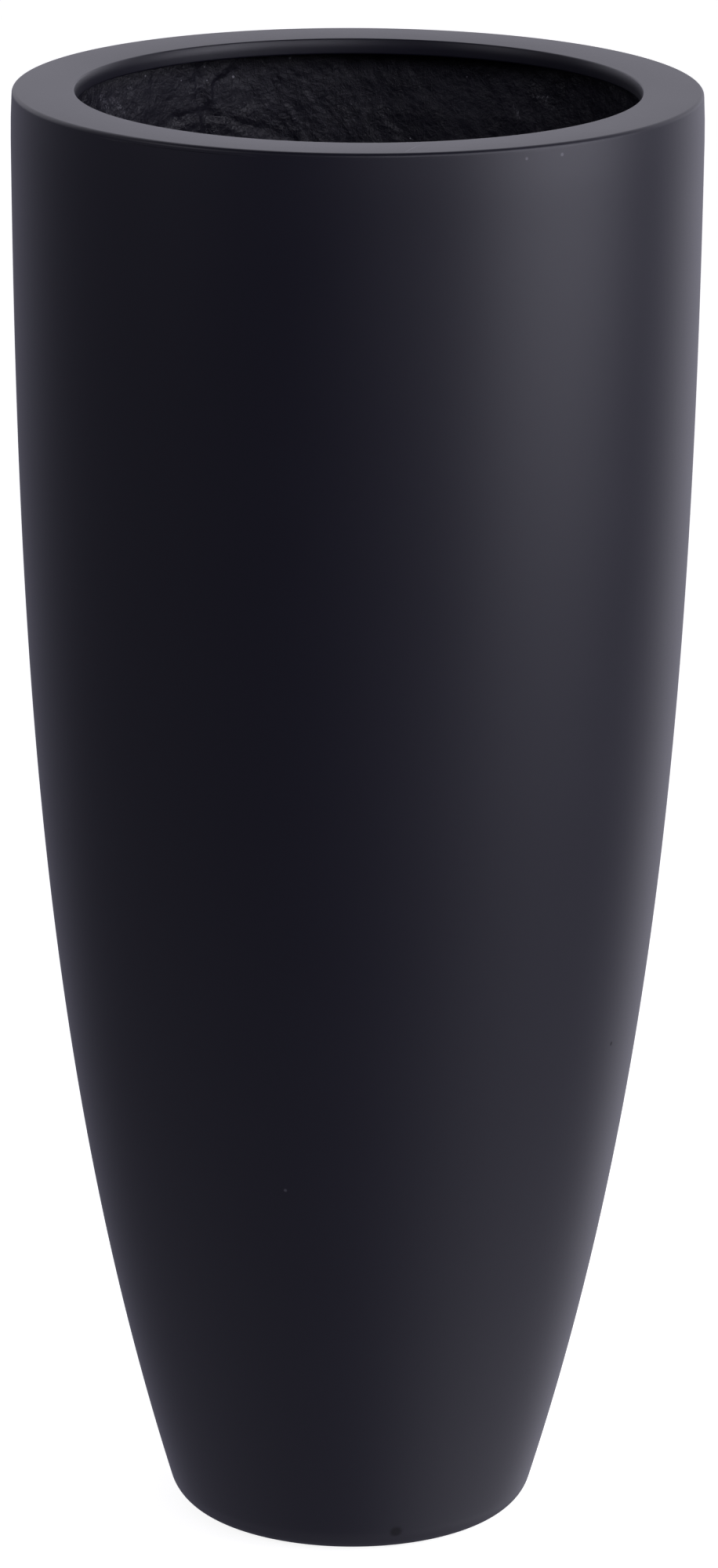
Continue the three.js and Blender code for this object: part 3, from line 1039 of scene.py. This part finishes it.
# A pale floor that takes the planter's shadow, and is clear when seen from below.
def ground():
    corners = [(x * GROUND_HALF, y * GROUND_HALF, 0) for x, y in ((-1, -1), (1, -1), (1, 1), (-1, 1))]
    mesh = bpy.data.meshes.new("ground")
    mesh.from_pydata(corners, [], [(0, 1, 2, 3)])
    plane = bpy.data.objects.new("ground", mesh)
    bpy.context.scene.collection.objects.link(plane)
    pale = bpy.data.materials.new("pale_ground")
    recipe = Recipe(pale)
    seen = recipe.add("ShaderNodeBsdfDiffuse", {}, {"Color": GROUND_PALE})
    glow = recipe.add("ShaderNodeEmission", {}, {"Color": WHITE, "Strength": GROUND_GLOW})
    lit = recipe.add("ShaderNodeAddShader", {}, {0: seen, 1: glow})
    clear = recipe.add("ShaderNodeBsdfTransparent")
    from_below = recipe.add("ShaderNodeNewGeometry", output="Backfacing")
    shader = recipe.add("ShaderNodeMixShader", {}, {0: from_below, 1: lit, 2: clear})
    recipe.add("ShaderNodeOutputMaterial", {}, {"Surface": shader})
    mesh.materials.append(pale)
    plane.visible_diffuse = False
    plane.visible_glossy = False
    plane.visible_transmission = False
    plane.visible_shadow = False


# The camera looks down at the planter from the front. Its angles are in radians.
def camera():
    eye = Vector((0, -3.936, 1.5247))
    down = 0.27535
    turn_right = 0.000685
    lean = 0.0057455
    picture_height = 2000
    focal_pixels = 9545.0
    data = bpy.data.cameras.new("camera")
    data.sensor_fit = "VERTICAL"
    data.sensor_height = 36
    data.lens = data.sensor_height * focal_pixels / picture_height
    data.clip_end = 100
    holder = bpy.data.objects.new("camera", data)
    bpy.context.scene.collection.objects.link(holder)
    aim = Euler((math.pi / 2 - down, 0, -turn_right)).to_matrix() @ Matrix.Rotation(lean, 3, "Z")
    holder.matrix_world = Matrix.Translation(eye) @ aim.to_4x4()
    bpy.context.scene.camera = holder


LAMP_TINT = (0.895, 0.88, 1.0)
BOUNCE_TINT = (0.79, 0.77, 1.0)
LAMPS_FACE = (0, 0, 0.7)

# The lamps: where they stand, as degrees to the right of the camera's side, distance and height, how
# wide and tall they are, and how bright, where 1 is a white wall in full light.
LAMPS = {
    "side_low": ((75, 2.6, 0.85), (1.4, 1.1), 5.2),
    "side_front": ((52, 2.6, 0.65), (0.9, 0.9), 3.6),
    "key_high": ((58, 2.6, 1.8), (1.2, 1.0), 5.8),
    "front_high": ((20, 2.8, 1.75), (1.8, 0.7), 5.0),
    "left_high": ((-60, 2.6, 1.8), (1.2, 1.0), 2.4),
}

# How bright each part of the studio is, on the same scale.
FLOOR_GLOW = 0.4
FLOOR_GLOW_RIGHT = 0.82
LEFT_WALL = 0.12
BACK_WALL = 0.45
BACK_WALL_RIGHT = 1.7
BACKDROP = 1.12

# Where each part begins and where it is in full, in the parts of a direction along x, y or z.
FLOOR_FADES = (0.3, 0.75)
RIGHT_FADES = (0.0, 0.95)
LEFT_FADES = (0.3, 0.95)
BACK_FADES = (0.4, 0.95)
WALLS_FADE = (0.0, 0.3)
BACKDROP_FOOT = (-0.05, 0.15)
BACKDROP_HEAD = (0.7, 0.95)
BACKDROP_FADES = (0.1, 0.6)
LAMP_TINT_FADES = (-0.1, 0.7)


# A place in the studio: degrees to the right of the camera's side, distance and height.
def stand(degrees, distance, height):
    angle = math.radians(degrees)
    return (distance * math.sin(angle), -distance * math.cos(angle), height)


# A soft lamp that faces the planter.
def soft_lamp(name, eye, width, height, radiance):
    data = bpy.data.lights.new(name, "AREA")
    data.shape = "RECTANGLE"
    data.size = width
    data.size_y = height
    data.energy = radiance * math.pi * width * height
    data.color = LAMP_TINT
    holder = bpy.data.objects.new(name, data)
    bpy.context.scene.collection.objects.link(holder)
    holder.location = eye
    way = Vector(LAMPS_FACE) - Vector(eye)
    holder.rotation_euler = way.to_track_quat("-Z", "Y").to_euler()
    holder.visible_camera = False


# The studio around the planter, by direction: what its paint reflects and what lights it softly.
def studio():
    world = bpy.data.worlds.new("studio")
    bpy.context.scene.world = world
    recipe = Recipe(world)
    way = recipe.add("ShaderNodeTexCoord", output="Generated")
    x, y, z = recipe.parts(way)
    below = recipe.eased(0 - z, *FLOOR_FADES)
    right = recipe.eased(x, *RIGHT_FADES)
    left = recipe.eased(0 - x, *LEFT_FADES)
    behind = recipe.eased(y, *BACK_FADES)
    level = 1 - recipe.eased(z, *WALLS_FADE)
    upright = recipe.eased(z, *BACKDROP_FOOT) * (1 - recipe.eased(z, *BACKDROP_HEAD))
    raised = upright * recipe.eased(y, *BACKDROP_FADES)
    strength = (
        below * (FLOOR_GLOW + FLOOR_GLOW_RIGHT * right)
        + level * (LEFT_WALL * left + behind * (BACK_WALL + BACK_WALL_RIGHT * right))
        + raised * BACKDROP
    )
    as_lamps = raised + recipe.eased(x, *LAMP_TINT_FADES)
    tint = recipe.blended(as_lamps, (*BOUNCE_TINT, 1), (*LAMP_TINT, 1))
    around = recipe.add("ShaderNodeBackground", {}, {"Color": tint, "Strength": strength})
    white = recipe.add("ShaderNodeBackground", {}, {"Color": WHITE, "Strength": 1.0})
    seen = recipe.add("ShaderNodeLightPath", output="Is Camera Ray")
    shader = recipe.add("ShaderNodeMixShader", {}, {0: seen, 1: around, 2: white})
    recipe.add("ShaderNodeOutputWorld", {}, {"Surface": shader})


ground()
camera()
studio()
for lamp, (place, size, radiance) in LAMPS.items():
    soft_lamp(lamp, stand(*place), *size, radiance)

bpy.context.scene.view_settings.view_transform = "Standard"
